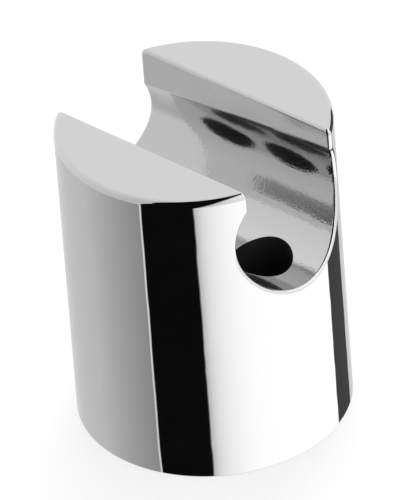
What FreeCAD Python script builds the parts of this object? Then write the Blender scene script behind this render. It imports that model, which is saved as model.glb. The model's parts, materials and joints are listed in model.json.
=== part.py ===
"""Hand shower holder: a round die-cast body for wall fixing, with a tapered cradle across its front.

Frame, in millimetres: the origin is the centre of the wall face, +Z points out of the wall, and +X is
the end of the cradle that is uppermost in use, where the cone of the shower hose goes in.
The body stands on its wall face when it isn't fixed to a wall.
"""

import math
import os

import FreeCAD
import Part

# Outside of the body
BODY_DIAMETER = 44.0
BODY_HEIGHT = 53.7
FRONT_EDGE_ROUND = 1.0
WALL_EDGE_BEVEL = 0.3

# Cradle: a cone-shaped trough that opens to the front through a narrower throat.
TROUGH_DIAMETER = 22.6  # square to its axis, where that crosses the axis of the body
TROUGH_HALF_ANGLE = 2.0  # degrees, the taper of the hose cone on each side
TROUGH_RISE = 0.7  # degrees, how steeply its axis rises towards the wide end
TROUGH_AXIS_DEPTH = 10.45  # below the front face, on the axis of the body
THROAT_LIP = 1.4  # how far each side of the throat stands in over the trough
NECK_ROUND = 0.8  # where the throat opens into the trough
CRADLE_EDGE_ROUND = 0.5  # the polished edge that runs round throat and trough

# Three wells in the floor of the trough, each with a seat for the head of a wall screw:
# one in the middle and one towards each end
WELL_DIAMETER = 10.0
WELL_GAP = 2.2  # the wall between neighbouring wells
SCREW_SEAT_THICKNESS = 5.0
SCREW_HOLE_DIAMETER = 5.0

# Hollow back of the casting: two pockets, with the bosses of the wells and a web between them
WALL_THICKNESS = 3.0
BOSS_WALL = 2.5
WEB_THICKNESS = 12.0
POCKET_ROOF_DROP = 5.4  # below the axis of the trough, where the pockets pass beside it
POCKET_CORNER_ROUND = 1.0

# How far a cutting tool stands out past what it cuts
OVERRUN = 5.0
# Points nearer to a surface than this lie on it
ON_SURFACE = 0.001
EDGE_SAMPLES = 7

BODY_RADIUS = BODY_DIAMETER / 2
TOOL_REACH = BODY_RADIUS + OVERRUN
TAPER = math.radians(TROUGH_HALF_ANGLE)
RISE = math.radians(TROUGH_RISE)
TROUGH_RADIUS = TROUGH_DIAMETER / 2
TROUGH_AXIS_HEIGHT = BODY_HEIGHT - TROUGH_AXIS_DEPTH
THROAT_WIDTH = TROUGH_DIAMETER - 2 * THROAT_LIP
WELL_PLACES = [place * (WELL_DIAMETER + WELL_GAP) for place in (-1, 0, 1)]
CORE_RADIUS = BODY_RADIUS - WALL_THICKNESS
UP = FreeCAD.Vector(0, 0, 1)


def at(x, y, z):
    return FreeCAD.Vector(x, y, z)


def blank():
    """The turned outside of the body, with its front edge rounded and its wall edge bevelled."""
    side, front, edge, bevel = BODY_RADIUS, BODY_HEIGHT, FRONT_EDGE_ROUND, WALL_EDGE_BEVEL
    inset = edge * (1 - math.sqrt(0.5))
    front_edge = Part.Arc(
        at(side, 0, front - edge),
        at(side - inset, 0, front - inset),
        at(side - edge, 0, front),
    )
    outline = [
        Part.makeLine(at(0, 0, 0), at(side - bevel, 0, 0)),
        Part.makeLine(at(side - bevel, 0, 0), at(side, 0, bevel)),
        Part.makeLine(at(side, 0, bevel), at(side, 0, front - edge)),
        front_edge.toShape(),
        Part.makeLine(at(side - edge, 0, front), at(0, 0, front)),
        Part.makeLine(at(0, 0, front), at(0, 0, 0)),
    ]
    return Part.Face(Part.Wire(outline)).revolve(at(0, 0, 0), UP, 360)


def trough(offset=0.0):
    """The cone of the trough, grown by offset all round."""
    along = at(math.cos(RISE), 0, math.sin(RISE))
    start = at(0, 0, TROUGH_AXIS_HEIGHT) - along * TOOL_REACH
    middle = TROUGH_RADIUS + offset / math.cos(TAPER)
    growth = TOOL_REACH * math.tan(TAPER)
    return Part.makeCone(middle - growth, middle + growth, 2 * TOOL_REACH, start, along)


def throat():
    """The parallel way from the trough out through the front face."""
    corner = at(-TOOL_REACH, -THROAT_WIDTH / 2, TROUGH_AXIS_HEIGHT)
    height = BODY_HEIGHT + OVERRUN - TROUGH_AXIS_HEIGHT
    return Part.makeBox(2 * TOOL_REACH, THROAT_WIDTH, height, corner)


def lies_on(edge, surface):
    """Whether an edge lies on a surface over its whole length."""
    points = edge.discretize(EDGE_SAMPLES)
    return all(surface.distToShape(Part.Vertex(point))[0] < ON_SURFACE for point in points)


def round_seam(shape, first, second, radius):
    """Rounds the edges of a shape along which two skins cross."""
    seam = [edge for edge in shape.Edges if lies_on(edge, first) and lies_on(edge, second)]
    return shape.makeFillet(radius, seam)


def skin(solid):
    return Part.Compound(solid.Faces)


def long_sides(solid):
    """The faces of a cutting tool that run right through the body along X."""
    return Part.Compound([face for face in solid.Faces if face.BoundBox.XLength > BODY_DIAMETER])


def cradle():
    """What trough and throat take out of the body, with the neck between them rounded."""
    space = trough().fuse(throat())
    return round_seam(space, long_sides(trough()), long_sides(throat()), NECK_ROUND)


def cylinders_at_wells(diameter, low, high):
    places = [at(x, 0, low) for x in WELL_PLACES]
    return Part.Compound([Part.makeCylinder(diameter / 2, high - low, place) for place in places])


def upright_bar(width, start, end, low, high):
    """A bar along X, centred on the cradle."""
    return Part.makeBox(end - start, width, high - low, at(start, -width / 2, low))


def is_corner(edge):
    """Whether an edge of the core is an upright one, where a web meets the outer wall."""
    box = edge.BoundBox
    upright = math.hypot(box.XLength, box.YLength) < ON_SURFACE
    at_wall = abs(math.hypot(box.Center.x, box.Center.y) - CORE_RADIUS) < ON_SURFACE
    return upright and at_wall


def pockets():
    """The hollow back: it follows the trough at the thickness of the wall.

    It leaves a boss round each well, a web between the bosses and one from each outer boss to the wall.
    """
    low = -OVERRUN
    roof = TROUGH_AXIS_HEIGHT - POCKET_ROOF_DROP
    boss_diameter = WELL_DIAMETER + 2 * BOSS_WALL
    first, last = WELL_PLACES[0], WELL_PLACES[-1]
    kept = [
        cylinders_at_wells(boss_diameter, low, roof),
        upright_bar(boss_diameter, -TOOL_REACH, first, low, roof),
        upright_bar(WEB_THICKNESS, first, last, low, roof),
        upright_bar(boss_diameter, last, TOOL_REACH, low, roof),
    ]
    core = Part.makeCylinder(CORE_RADIUS, roof - low, at(0, 0, low))
    for solid in kept:
        core = core.cut(solid)
    core = core.makeFillet(POCKET_CORNER_ROUND, [edge for edge in core.Edges if is_corner(edge)])
    return core.cut(trough(WALL_THICKNESS))


def holder_body():
    wells = cylinders_at_wells(WELL_DIAMETER, SCREW_SEAT_THICKNESS, TROUGH_AXIS_HEIGHT)
    screw_holes = cylinders_at_wells(SCREW_HOLE_DIAMETER, -OVERRUN, SCREW_SEAT_THICKNESS + OVERRUN)
    body = round_seam(blank().cut(cradle()), skin(blank()), skin(cradle()), CRADLE_EDGE_ROUND)
    return body.cut(wells).cut(screw_holes).cut(pockets())


def main():
    os.makedirs("parts", exist_ok=True)
    body = holder_body()
    body.exportStep("parts/holder_body.step")
    print("holder_body", body.isValid(), len(body.Solids), round(body.Volume, 1))


main()
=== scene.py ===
"""Looks of the hand shower holder: a zinc casting with a bright chrome plate, in a plain pale studio."""

import json
import math

import bpy
from mathutils import Matrix, Vector


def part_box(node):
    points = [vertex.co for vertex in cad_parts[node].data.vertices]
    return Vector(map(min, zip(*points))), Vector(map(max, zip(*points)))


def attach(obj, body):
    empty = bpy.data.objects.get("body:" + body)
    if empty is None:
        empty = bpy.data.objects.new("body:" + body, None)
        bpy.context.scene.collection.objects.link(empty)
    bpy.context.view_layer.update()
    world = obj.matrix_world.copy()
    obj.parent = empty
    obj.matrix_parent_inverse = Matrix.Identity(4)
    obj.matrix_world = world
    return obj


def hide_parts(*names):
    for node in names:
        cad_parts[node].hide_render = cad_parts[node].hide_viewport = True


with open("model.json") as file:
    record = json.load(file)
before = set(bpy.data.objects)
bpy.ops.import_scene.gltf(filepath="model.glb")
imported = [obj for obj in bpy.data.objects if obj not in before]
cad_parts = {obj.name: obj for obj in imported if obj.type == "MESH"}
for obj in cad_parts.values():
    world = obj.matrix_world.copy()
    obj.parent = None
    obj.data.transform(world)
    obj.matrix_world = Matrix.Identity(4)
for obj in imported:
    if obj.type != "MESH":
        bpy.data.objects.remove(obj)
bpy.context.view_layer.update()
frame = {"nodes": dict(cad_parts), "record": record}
casting_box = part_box("holder_body")
mounts = {mount["name"]: mount for mount in frame["record"]["mounts"]}

MM = 0.001

# The view of the photograph, which is 417 by 500 pixels
LONG_SIDE_PIXELS = 500
SENSOR_MM = 36.0
VIEW_AZIMUTH = 42.7  # degrees, 0 looks along +Y and 90 along -X
VIEW_ELEVATION = 36.42  # degrees above the horizon
VIEW_ROLL = -4.51  # degrees, the object leans to the left at its top
VIEW_DISTANCE = 2.103  # metres
VIEW_PIVOT_HEIGHT = 26.7 * MM  # the point of the body's axis that the view is measured from
PIXELS_PER_MM = 6.34  # at that point
PIVOT_PIXELS = (-4.305, 8.65)  # where it lies, right and down from the middle of the picture
CLIP_ENDS = (0.1, 20.0)  # metres from the camera

# The true forms of the casting, in millimetres and degrees, which the polish follows
BODY_RADIUS = casting_box[1].x / MM
BODY_HEIGHT = casting_box[1].z / MM
FRONT_EDGE_ROUND = 1.0
TROUGH_START = Vector(mounts["cradle"]["pos_m"]) / MM
TROUGH_ALONG = Vector(mounts["cradle"]["axis"]).normalized()
TROUGH_RADIUS = 11.3
TROUGH_HALF_ANGLE = 2.0
THROAT_HALF_WIDTH = 9.9
NECK_ROUND = 0.8
WELL_RADIUS = mounts["screw_head_wells"]["dims"]["hole_r_mm"]
WELL_PITCH = mounts["screw_head_wells"]["dims"]["spacing_x_mm"] / 2
WELL_PLACES = [place * WELL_PITCH for place in (-1, 0, 1)]
OUTER_SKIN = 2.9  # what lies no deeper than this inside the outside of the body is plated
TROUGH_SKIN = 1.6  # and so is what lies no deeper than this below the trough
ON_SURFACE = 0.004  # points nearer to a surface than this lie on it
FACING = 0.95  # the least cosine between a facet and the surface that it stands for
UP = Vector((0, 0, 1))


def linear(hex_colour):
    """An sRGB hex colour as linear red, green, blue and alpha."""
    parts = [int(hex_colour[i : i + 2], 16) / 255 for i in (1, 3, 5)]
    return [c / 12.92 if c <= 0.04045 else ((c + 0.055) / 1.055) ** 2.4 for c in parts] + [1.0]


def node(tree, kind, inputs=(), **settings):
    """Adds a node with its settings. Inputs are (socket, value or another node's output)."""
    added = tree.nodes.new(kind)
    for name, value in settings.items():
        setattr(added, name, value)
    for socket, value in inputs:
        if isinstance(value, bpy.types.NodeSocket):
            tree.links.new(value, added.inputs[socket])
        else:
            added.inputs[socket].default_value = value
    return added


def new_tree(owner):
    owner.use_nodes = True
    owner.node_tree.nodes.clear()
    return owner.node_tree


def towards(right, near, up):
    """A direction of the studio, given as level to the right, level to the near side, and up."""
    azimuth = math.radians(VIEW_AZIMUTH)
    level_right = Vector((math.cos(azimuth), math.sin(azimuth), 0))
    level_near = Vector((math.sin(azimuth), -math.cos(azimuth), 0))
    return level_right * right + level_near * near + UP * up


def make_camera():
    """The camera at the photograph's angle, far off with a long lens."""
    elevation = math.radians(VIEW_ELEVATION)
    roll = math.radians(VIEW_ROLL)
    back = towards(0, math.cos(elevation), math.sin(elevation))
    level = towards(1, 0, 0)
    right = level * math.cos(roll) + back.cross(level) * math.sin(roll)
    up = back.cross(right)
    pixel = MM / PIXELS_PER_MM
    across, down = PIVOT_PIXELS
    target = UP * VIEW_PIVOT_HEIGHT - right * across * pixel + up * down * pixel
    data = bpy.data.cameras.new("photo_camera")
    data.sensor_width = SENSOR_MM
    data.lens = VIEW_DISTANCE / pixel / LONG_SIDE_PIXELS * SENSOR_MM
    data.clip_start, data.clip_end = CLIP_ENDS
    camera = bpy.data.objects.new("photo_camera", data)
    turn = Matrix((right, up, back)).transposed().to_4x4()
    camera.matrix_world = Matrix.Translation(target + back * VIEW_DISTANCE) @ turn
    bpy.context.scene.collection.objects.link(camera)
    bpy.context.scene.camera = camera


# Each true surface is a function: how far a point is off it, and which way the surface faces there


def turned(start, along, radius, half_angle, side):
    """A cone or cylinder. side is 1 for its outside and -1 for the wall of a hole."""
    taper = math.radians(half_angle)

    def look(point):
        reach = (point - start).dot(along)
        out = point - start - along * reach
        off = (out.length - radius - reach * math.tan(taper)) * math.cos(taper)
        return off, (out.normalized() * math.cos(taper) - along * math.sin(taper)) * side

    return look


def flat(height, facing):
    """A plane at a height above the origin, measured the way that it faces."""

    def look(point):
        return point.dot(facing) - height, facing

    return look


def front_edge(point):
    """The rounded front edge: a quarter of a ring."""
    middle = Vector((point.x, point.y, 0)).normalized() * (BODY_RADIUS - FRONT_EDGE_ROUND)
    middle.z = BODY_HEIGHT - FRONT_EDGE_ROUND
    return (point - middle).length - FRONT_EDGE_ROUND, (point - middle).normalized()


def neck(point):
    """The rounded neck, as a ball would roll between the side of the throat and the trough."""
    reach = (point - TROUGH_START).dot(TROUGH_ALONG)
    across = THROAT_HALF_WIDTH + NECK_ROUND
    radius = TROUGH_RADIUS + NECK_ROUND + reach * math.tan(math.radians(TROUGH_HALF_ANGLE))
    middle = TROUGH_START + TROUGH_ALONG * reach + Vector((0, math.copysign(across, point.y), 0))
    middle.z += math.sqrt(radius**2 - across**2)
    return (point - middle).length - NECK_ROUND, (point - middle).normalized()


def true_surfaces():
    """The turned, flat and rolled surfaces of the casting, each with its finish."""
    surfaces = [
        ("plate", turned(Vector(), UP, BODY_RADIUS, 0, 1)),
        ("plate", flat(BODY_HEIGHT, UP)),
        ("plate", flat(0, -UP)),
        ("plate", front_edge),
        ("cradle", turned(TROUGH_START, TROUGH_ALONG, TROUGH_RADIUS, TROUGH_HALF_ANGLE, -1)),
        ("cradle", neck),
    ]
    surfaces += [("cradle", flat(-THROAT_HALF_WIDTH, Vector((0, side, 0)))) for side in (-1, 1)]
    surfaces += [("cast", turned(Vector((x, 0, 0)), UP, WELL_RADIUS, 0, -1)) for x in WELL_PLACES]
    return surfaces


def finish_of(centre):
    """The finish of a facet that lies on none of the true surfaces."""
    inside = math.hypot(centre.x, centre.y) < BODY_RADIUS - OUTER_SKIN
    in_well = min(math.hypot(centre.x - x, centre.y) for x in WELL_PLACES) < WELL_RADIUS
    reach = (centre - TROUGH_START).dot(TROUGH_ALONG)
    off_axis = (centre - TROUGH_START - TROUGH_ALONG * reach).length
    below = centre.z < TROUGH_START.z and off_axis > TROUGH_RADIUS + TROUGH_SKIN
    return "cast" if inside and (below or in_well) else "plate"


def chromed_body(finishes):
    """The casting with the normals of its true surfaces, so that its mirror images run smooth."""
    source = frame["nodes"]["holder_body"]
    piece = source.copy()
    piece.data = source.data.copy()
    piece.name = piece.data.name = "chromed_body"
    bpy.context.scene.collection.objects.link(piece)
    mesh = piece.data
    mesh.materials.clear()
    for material in finishes.values():
        mesh.materials.append(material)
    order = list(finishes)
    surfaces = true_surfaces()
    normals = [corner.vector.copy() for corner in mesh.corner_normals]
    places = [vertex.co / MM for vertex in mesh.vertices]
    for facet in mesh.polygons:
        facet.use_smooth = True
        points = [places[i] for i in facet.vertices]
        centre = sum(points, Vector()) / len(points)
        finish = None
        for name, look in surfaces:
            seen = [look(point) for point in points]
            touches = max(abs(off) for off, _ in seen) < ON_SURFACE
            if touches and look(centre)[1].dot(facet.normal) > FACING:
                finish = name
                for corner, (_, facing) in zip(facet.loop_indices, seen):
                    normals[corner] = facing
                break
        facet.material_index = order.index(finish or finish_of(centre))
    mesh.normals_split_custom_set(normals)
    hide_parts("holder_body")
    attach(piece, "root")


# The finishes. Widths and depths are in millimetres.
CHROME = "#CACACA"
WAVE_WIDTH = 7.0
GRAIN_WIDTH = 0.4
SMEAR_WIDTH = 9.0
SMEAR_ENDS = (0.4, 0.75)  # the shares of the smear pattern between which the polish dulls
HAZE_ROUGHNESS = 0.4

# The unplated zinc: partly the dull grey of bare zinc, partly painted shade that makes both greys far
# darker, so that the wells and the hollow inside show black
ZINC_DARK_AND_PAINTED_SHADE = "#46474A"
ZINC_PALE_AND_PAINTED_SHADE = "#606266"
ZINC_FLOW_WIDTH = 6.0
ZINC_FLOW_ENDS = (0.3, 0.7)
ZINC_ROUGHNESS = (0.5, 0.65)
ZINC_GRAIN_DEPTH = 0.03
ZINC_GRAIN_STRENGTH = 0.6


def chrome_finish(name, dullness, haze, waviness, grain_depth, marks_per_mm, mark_depth):
    """Bright chrome, electroplated on polished zinc: a neutral mirror.

    The eye sees a slightly wavy mirror with fine grain, polishing marks that run one way, dull smears and,
    where the polishing wheel reaches badly, a thin haze over the darkest images. The real grain and marks
    are a few thousandths of a millimetre wide, and are drawn as coarse as they need to be to show.
    marks_per_mm counts the marks along X, Y and Z.
    """
    material = bpy.data.materials.new(name)
    tree = new_tree(material)
    place = node(tree, "ShaderNodeTexCoord").outputs["Object"]
    waves = node(
        tree,
        "ShaderNodeTexNoise",
        [("Vector", place), ("Scale", 1 / (WAVE_WIDTH * MM)), ("Detail", 1.0)],
    ).outputs["Fac"]
    grain = node(
        tree,
        "ShaderNodeTexNoise",
        [("Vector", place), ("Scale", 1 / (GRAIN_WIDTH * MM)), ("Detail", 1.0)],
    ).outputs["Fac"]
    stretched = node(
        tree,
        "ShaderNodeMapping",
        [("Vector", place), ("Scale", marks_per_mm)],
    ).outputs["Vector"]
    marks = node(
        tree,
        "ShaderNodeTexNoise",
        [("Vector", stretched), ("Scale", 1 / MM), ("Detail", 2.0)],
    ).outputs["Fac"]
    smears = node(
        tree,
        "ShaderNodeTexNoise",
        [("Vector", place), ("Scale", 1 / (SMEAR_WIDTH * MM)), ("Detail", 4.0), ("Distortion", 1.2)],
    ).outputs["Fac"]
    roughness = node(
        tree,
        "ShaderNodeMapRange",
        [
            ("Value", smears),
            ("From Min", SMEAR_ENDS[0]),
            ("From Max", SMEAR_ENDS[1]),
            ("To Min", dullness[0]),
            ("To Max", dullness[1]),
        ],
    ).outputs["Result"]
    bump = None
    for height, depth in ((waves, waviness), (grain, grain_depth), (marks, mark_depth)):
        inputs = [("Height", height), ("Strength", 1.0), ("Distance", depth * MM)]
        if bump:
            inputs.append(("Normal", bump))
        bump = node(tree, "ShaderNodeBump", inputs).outputs["Normal"]
    shader = node(
        tree,
        "ShaderNodeBsdfPrincipled",
        [
            ("Base Color", linear(CHROME)),
            ("Metallic", 1.0),
            ("Roughness", roughness),
            ("Normal", bump),
            ("Coat Weight", haze),
            ("Coat Roughness", HAZE_ROUGHNESS),
        ],
    )
    node(tree, "ShaderNodeOutputMaterial", [("Surface", shader.outputs[0])])
    return material


def cast_zinc_with_painted_shade():
    """Zinc as it came out of the die, where no polishing wheel reaches.

    The eye sees a dull dark grey with faint flow marks and a fine grain, which is drawn coarser than real.
    The grey is partly bare zinc's own dull grey and partly painted shade, far darker than bare zinc, so
    that the wells and the hollow inside show black.
    """
    material = bpy.data.materials.new("as_cast_zinc_with_painted_shade")
    tree = new_tree(material)
    place = node(tree, "ShaderNodeTexCoord").outputs["Object"]
    grain = node(
        tree,
        "ShaderNodeTexNoise",
        [("Vector", place), ("Scale", 1 / (GRAIN_WIDTH * MM)), ("Detail", 4.0)],
    ).outputs["Fac"]
    flow = node(
        tree,
        "ShaderNodeTexNoise",
        [("Vector", place), ("Scale", 1 / (ZINC_FLOW_WIDTH * MM)), ("Detail", 3.0), ("Distortion", 0.8)],
    ).outputs["Fac"]
    # Painted shade: both greys are far darker than bare zinc, so that the wells and the hollow inside show
    # black
    colour = node(
        tree,
        "ShaderNodeMix",
        [(0, flow), (6, linear(ZINC_DARK_AND_PAINTED_SHADE)), (7, linear(ZINC_PALE_AND_PAINTED_SHADE))],
        data_type="RGBA",
    ).outputs[2]
    roughness = node(
        tree,
        "ShaderNodeMapRange",
        [
            ("Value", flow),
            ("From Min", ZINC_FLOW_ENDS[0]),
            ("From Max", ZINC_FLOW_ENDS[1]),
            ("To Min", ZINC_ROUGHNESS[0]),
            ("To Max", ZINC_ROUGHNESS[1]),
        ],
    ).outputs["Result"]
    bump = node(
        tree,
        "ShaderNodeBump",
        [("Height", grain), ("Strength", ZINC_GRAIN_STRENGTH), ("Distance", ZINC_GRAIN_DEPTH * MM)],
    ).outputs["Normal"]
    shader = node(
        tree,
        "ShaderNodeBsdfPrincipled",
        [("Base Color", colour), ("Metallic", 1.0), ("Roughness", roughness), ("Normal", bump)],
    )
    node(tree, "ShaderNodeOutputMaterial", [("Surface", shader.outputs[0])])
    return material


def edge(normal, softness, place=0.0):
    """A soft edge of a card of the studio.

    The edge is a plane through the object, given by its normal, which points into the card. The card fades
    in between two sines of the angle past that plane: softness below place, and softness above it.
    """
    return normal, place - softness, place + softness


def upright(degrees, side=1):
    """The normal of an upright plane at an angle from the near side, turning right, or its other side."""
    turn = math.radians(degrees)
    return side * math.cos(turn), -side * math.sin(turn), 0


# The studio that the chrome mirrors, as right, near and up. A tone is how bright the chrome shows it.
# Above is a grey room, and below a grey table that is darker at the near side.
ROOM_TONE = 0.532
ROOM_FALL = -0.135  # from the middle of the room to its near side
TABLE_TONE = 0.380
TABLE_FALL = -0.285
TABLE_FAR_TONE = 0.455  # the most that it comes to at its far side
ROOM_END = (-0.35, -0.62)  # sines of the elevations between which the room passes into the table

# To the right is a white panel: how bright it shows by the sine of the angle past its edge
PANEL_NORMAL = (0.967, -0.082, -0.2416)
PANEL_TONES = (
    (0, 0.40),
    (0.02, 0.49),
    (0.1, 0.70),
    (0.2, 0.81),
    (0.33, 0.90),
    (0.46, 0.956),
    (0.7, 0.99),
    (1, 1),
)
PANEL = [edge(PANEL_NORMAL, 0.01)]

# A level band of the panel is dimmer, so that the outline shows against white from other sides
PANEL_DIM = 0.76
PANEL_BAND = PANEL + [edge((0, 0, 1), 0.04, -0.51), edge((0, 0, -1), 0.1, -0.45)]

# On the far side the panel ends, and from there round to the left is the grey room again.
# A dark strip stands over that end of the panel, narrower in its upper part.
REAR_FROM = 137.0
REAR_WIDTH = 170.0
REAR = [edge(upright(REAR_FROM), 0.01), edge(upright(REAR_FROM + REAR_WIDTH, -1), 0.01)]
STRIP_TONE = 0.0467
STRIP_START = edge(upright(122.6), 0.007)
STRIP = [STRIP_START, edge(upright(152.2, -1), 0.007), edge((-0.309, 0.503, -0.807), 0.004)]
STRIP_ABOVE = [STRIP_START, edge(upright(146.0, -1), 0.02), edge((0, 0, -1), 0.02, -0.27)]

# Left of the panel hang two black flags, and the lower one has a pale hem
FLAG_TONE = 0.003
FLAG_HEM_TONE = 0.62
FLAG_LOW_NORMAL = (0.7195, 0.6757, -0.156)
LEFT_OF_PANEL = edge(tuple(-part for part in PANEL_NORMAL), 0.01)
FLAG = [edge((0.8195, 0.557, 0.1318), 0.01), LEFT_OF_PANEL]
FLAG_LOW = [edge(FLAG_LOW_NORMAL, 0.005), LEFT_OF_PANEL]
FLAG_HEM = [edge(FLAG_LOW_NORMAL, 0.004, -0.02), LEFT_OF_PANEL]


def make_world():
    """The studio that the chrome mirrors, by direction. All that isn't a mirror sees plain white."""
    world = bpy.data.worlds.new("studio")
    bpy.context.scene.world = world
    tree = new_tree(world)
    direction = node(tree, "ShaderNodeTexCoord").outputs["Generated"]
    near, up, past_edge = [
        node(
            tree,
            "ShaderNodeVectorMath",
            [(0, direction), (1, towards(*axis))],
            operation="DOT_PRODUCT",
        ).outputs["Value"]
        for axis in ((0, 1, 0), (0, 0, 1), PANEL_NORMAL)
    ]
    room, table = [
        node(
            tree,
            "ShaderNodeMath",
            [(0, near), (1, fall), (2, tone)],
            operation="MULTIPLY_ADD",
        ).outputs[0]
        for tone, fall in ((ROOM_TONE, ROOM_FALL), (TABLE_TONE, TABLE_FALL))
    ]
    table = node(tree, "ShaderNodeMath", [(0, table), (1, TABLE_FAR_TONE)], operation="MINIMUM").outputs[0]
    low = node(
        tree,
        "ShaderNodeMapRange",
        [("Value", up), ("From Min", ROOM_END[0]), ("From Max", ROOM_END[1])],
        interpolation_type="SMOOTHSTEP",
    ).outputs["Result"]
    grey = node(tree, "ShaderNodeMix", [(0, low), (2, room), (3, table)]).outputs[0]
    panel = node(tree, "ShaderNodeFloatCurve", [("Value", past_edge)])
    curve = panel.mapping.curves[0]
    for point, place in zip(curve.points, (PANEL_TONES[0], PANEL_TONES[-1])):
        point.location = place
    for place in PANEL_TONES[1:-1]:
        curve.points.new(*place)
    panel.mapping.update()
    white = panel.outputs[0]
    dimmed = node(tree, "ShaderNodeMath", [(0, white), (1, PANEL_DIM)], operation="MULTIPLY").outputs[0]
    # Each card hides what it covers of those before it
    cards = [
        (white, PANEL),
        (dimmed, PANEL_BAND),
        (grey, REAR),
        (STRIP_TONE, STRIP),
        (STRIP_TONE, STRIP_ABOVE),
        (FLAG_HEM_TONE, FLAG_HEM),
        (FLAG_TONE, FLAG),
        (FLAG_TONE, FLAG_LOW),
    ]
    tone = grey
    for card_tone, edges in cards:
        share = 1.0
        for normal, outside, inside in edges:
            across = node(
                tree,
                "ShaderNodeVectorMath",
                [(0, direction), (1, towards(*normal))],
                operation="DOT_PRODUCT",
            ).outputs["Value"]
            within = node(
                tree,
                "ShaderNodeMapRange",
                [("Value", across), ("From Min", outside), ("From Max", inside)],
            ).outputs["Result"]
            share = node(tree, "ShaderNodeMath", [(0, share), (1, within)], operation="MULTIPLY").outputs[0]
        tone = node(tree, "ShaderNodeMix", [(0, share), (2, tone), (3, card_tone)]).outputs[0]
    brighter = 1 / linear(CHROME)[0]
    mirrored = node(tree, "ShaderNodeMath", [(0, tone), (1, brighter)], operation="MULTIPLY").outputs[0]
    in_mirror = node(tree, "ShaderNodeLightPath").outputs["Is Glossy Ray"]
    strength = node(tree, "ShaderNodeMix", [(0, in_mirror), (2, 1.0), (3, mirrored)]).outputs[0]
    background = node(tree, "ShaderNodeBackground", [("Color", (1, 1, 1, 1)), ("Strength", strength)])
    node(tree, "ShaderNodeOutputWorld", [("Surface", background.outputs[0])])


PAPER = "#F4F4F4"
PAPER_SHARE = 0.3  # the rest of the floor glows a plain white, so that only a faint shadow falls on it
FLOOR_REACH = 3.0
FLOOR_GAP = 0.02 * MM  # keeps the floor and the wall face from lying in one plane


def make_floor():
    """A plain pale floor under the wall face, with the object's soft shadow on it.

    Mirror images look through it to the studio, and from below it is clear.
    """
    mesh = bpy.data.meshes.new("floor")
    square = ((-1, -1), (1, -1), (1, 1), (-1, 1))
    mesh.from_pydata([(x * FLOOR_REACH, y * FLOOR_REACH, -FLOOR_GAP) for x, y in square], [], [range(4)])
    floor = bpy.data.objects.new("floor", mesh)
    bpy.context.scene.collection.objects.link(floor)
    material = bpy.data.materials.new("white_paper_sweep")
    tree = new_tree(material)
    paper = node(tree, "ShaderNodeBsdfDiffuse", [("Color", linear(PAPER))])
    glow = node(tree, "ShaderNodeEmission", [("Color", (1, 1, 1, 1)), ("Strength", 1.0)])
    lit = node(
        tree,
        "ShaderNodeMixShader",
        [(0, PAPER_SHARE), (1, glow.outputs[0]), (2, paper.outputs[0])],
    )
    clear = node(tree, "ShaderNodeBsdfTransparent")
    in_mirror = node(tree, "ShaderNodeLightPath").outputs["Is Glossy Ray"]
    behind = node(tree, "ShaderNodeNewGeometry").outputs["Backfacing"]
    hidden = node(tree, "ShaderNodeMath", [(0, in_mirror), (1, behind)], operation="MAXIMUM").outputs[0]
    surface = node(tree, "ShaderNodeMixShader", [(0, hidden), (1, lit.outputs[0]), (2, clear.outputs[0])])
    node(tree, "ShaderNodeOutputMaterial", [("Surface", surface.outputs[0])])
    mesh.materials.append(material)


LAMP_PLACE = Vector((-0.3, 0.5, 1.0))
LAMP_WIDTH = 0.6
LAMP_WATTS = 6.0


def make_lamp():
    """A soft lamp above and behind the object, which throws its shadow. The chrome doesn't mirror it."""
    data = bpy.data.lights.new("soft_lamp", "AREA")
    data.shape = "DISK"
    data.size = LAMP_WIDTH
    data.energy = LAMP_WATTS
    lamp = bpy.data.objects.new("soft_lamp", data)
    lamp.location = LAMP_PLACE
    lamp.rotation_euler = (-LAMP_PLACE).to_track_quat("-Z", "Y").to_euler()
    lamp.visible_glossy = False
    bpy.context.scene.collection.objects.link(lamp)


make_camera()
make_world()
make_floor()
make_lamp()
chromed_body({
    "plate": chrome_finish(
        "bright_chrome_plate",
        dullness=(0.015, 0.05),
        haze=0.0,
        waviness=0.035,
        grain_depth=0.00005,
        marks_per_mm=(0.5, 0.5, 3.0),
        mark_depth=0.00005,
    ),
    "cradle": chrome_finish(
        "bright_chrome_plate_in_the_cradle",
        dullness=(0.07, 0.12),
        haze=0.8,
        waviness=0.06,
        grain_depth=0.011,
        marks_per_mm=(0.05, 3.0, 3.0),
        mark_depth=0.006,
    ),
    # the unplated zinc inside, with painted shade that darkens the wells and the hollow
    "cast": cast_zinc_with_painted_shade(),
})
bpy.context.scene.view_settings.view_transform = "Standard"
